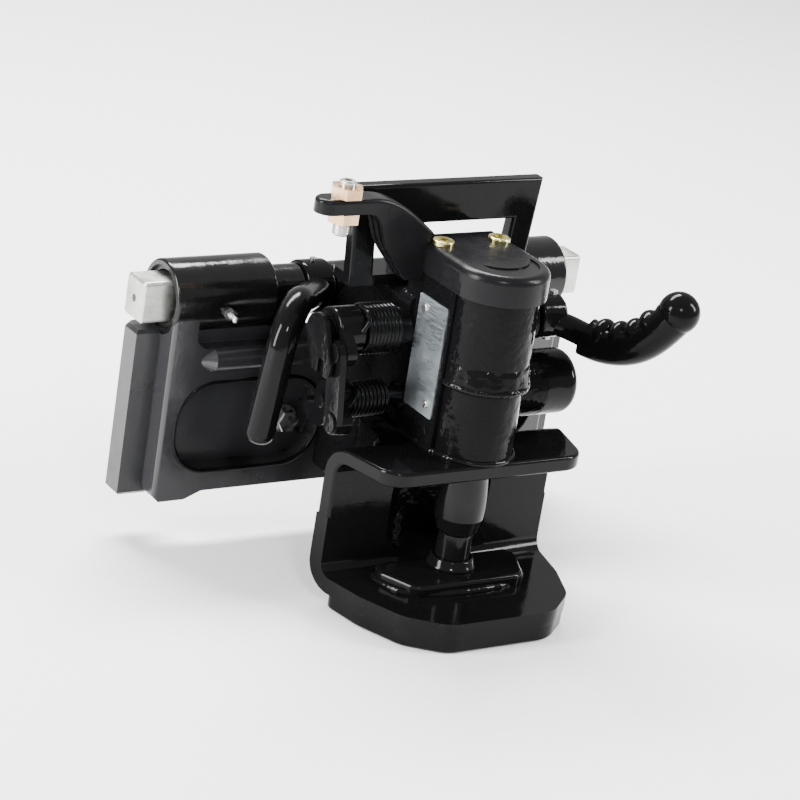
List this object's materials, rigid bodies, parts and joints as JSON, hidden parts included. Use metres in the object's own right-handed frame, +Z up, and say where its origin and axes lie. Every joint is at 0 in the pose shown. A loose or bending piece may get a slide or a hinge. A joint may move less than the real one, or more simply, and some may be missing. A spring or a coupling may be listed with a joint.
{
  "type": "automatic trailer coupling",
  "caption": "Height-adjustable automatic clevis coupling: jaw with lifting coupling pin and hand lever on a carrier plate with guide bars and side locking pins.",
  "frame": {"origin": "coupling point: on the coupling pin's axis, half way up the jaw's mouth", "axes": "+Z up, -Y out of the jaw's mouth, +X towards the hand lever; carrier and guide bars lie behind at +Y"},
  "size_m": [0.394, 0.275, 0.319],
  "materials": {
    "black_paint": "gloss",
    "black_grip": "gloss",
    "black_guides": "satin",
    "black_springs": "gloss",
    "dark_pin_steel": "gloss",
    "turned_steel": "machined",
    "bright_steel": "zinc coated",
    "bronze": "satin",
    "yellow_zinc": "yellow passivated",
    "copper_zinc": "satin",
    "zinc": "zinc coated",
    "bare_nameplate": "satin, bare",
    "black_rubber": "matte"
  },
  "bodies": {
    "carrier": {"jaw": "black_paint", "jaw_bottom_plate": "black_paint", "head_casting": "black_paint", "throat_casting": "black_paint", "trigger_cap": "black_paint", "lid": "black_paint", "top_handle": "black_paint", "carrier_plate": "black_paint", "pin_tube_left": "black_paint", "pin_tube_right": "black_paint", "cross_tubes": "black_paint", "wear_plate": "black_paint", "wire_clip": "black_paint", "guide_screws": "black_paint", "pin_guide_screws": "black_paint", "top_handle_bolts": "black_paint", "guide_bar_left": "black_guides", "guide_bar_right": "black_guides", "lever_spring": "black_springs", "trigger_spring": "black_springs", "lower_bush": "bronze", "upper_bush": "bronze", "shaft_bushes": "bronze", "trigger_bushes": "bronze", "lock_bush_left": "bronze", "lock_bush_right": "bronze", "lid_bolts": "yellow_zinc", "adjuster_nuts": "copper_zinc", "cable_adjuster": "zinc", "grease_nipples": "zinc", "nameplate_rivets": "zinc", "plate_bolt": "zinc", "nameplate": "bare_nameplate", "lid_gasket": "black_rubber"},
    "adjuster": {"cross_shaft": "turned_steel", "handle_lug": "black_paint", "lug_pin": "turned_steel", "adjuster_handle": "black_paint"},
    "locking_pin_left": {"locking_pin_left": "bright_steel", "follower_stud_left": "turned_steel"},
    "locking_pin_right": {"locking_pin_right": "bright_steel", "follower_stud_right": "turned_steel"},
    "lever": {"main_shaft": "turned_steel", "lifting_fork": "turned_steel", "hub_lever": "black_paint", "cable_lever": "black_paint", "hand_lever": "black_paint", "hand_grip": "black_grip", "lever_pin": "turned_steel", "upper_link_pin": "black_paint"},
    "coupling_pin": {"coupling_pin": "dark_pin_steel", "lifting_stud": "turned_steel"},
    "trigger": {"trigger_shaft": "turned_steel", "lower_lever": "black_paint", "trigger_finger": "turned_steel", "lower_link_pin": "black_paint"},
    "link": {"link_bar": "black_paint"}
  },
  "joints": [
    {"name": "adjuster_turn", "type": "hinge", "parent": "carrier", "child": "adjuster", "pos_m": [0, 0.172, 0.122], "axis": [-1, 0, 0], "range_deg": [0, 75]},
    {"name": "left_pin_slide", "type": "slide", "parent": "carrier", "child": "locking_pin_left", "axis": [1, 0, 0], "range_m": [0, 0.022]},
    {"name": "right_pin_slide", "type": "slide", "parent": "carrier", "child": "locking_pin_right", "axis": [-1, 0, 0], "range_m": [0, 0.022]},
    {"name": "lever_turn", "type": "hinge", "parent": "carrier", "child": "lever", "pos_m": [0, 0.06, 0.133], "axis": [-1, 0, 0], "range_deg": [0, 64], "stiffness_Nm_per_rad": 1, "springref_deg": -17.19},
    {"name": "pin_lift", "type": "slide", "parent": "carrier", "child": "coupling_pin", "axis": [0, 0, 1], "range_m": [0, 0.075]},
    {"name": "trigger_turn", "type": "hinge", "parent": "carrier", "child": "trigger", "pos_m": [0, 0.052, 0.082], "axis": [-1, 0, 0], "range_deg": [0, 64]},
    {"name": "link_turn", "type": "hinge", "parent": "lever", "child": "link", "pos_m": [-0.1, 0.041, 0.124], "axis": [-1, 0, 0], "range_deg": [-64, 0]}
  ],
  "couplings": [
    {"joint": "left_pin_slide", "follows": "adjuster_turn", "m_per_rad": 0.016806},
    {"joint": "right_pin_slide", "follows": "adjuster_turn", "m_per_rad": 0.016806},
    {"joint": "pin_lift", "follows": "lever_turn", "m_per_rad": 0.06713},
    {"joint": "trigger_turn", "follows": "lever_turn", "ratio": 1},
    {"joint": "link_turn", "follows": "lever_turn", "ratio": -1}
  ]
}
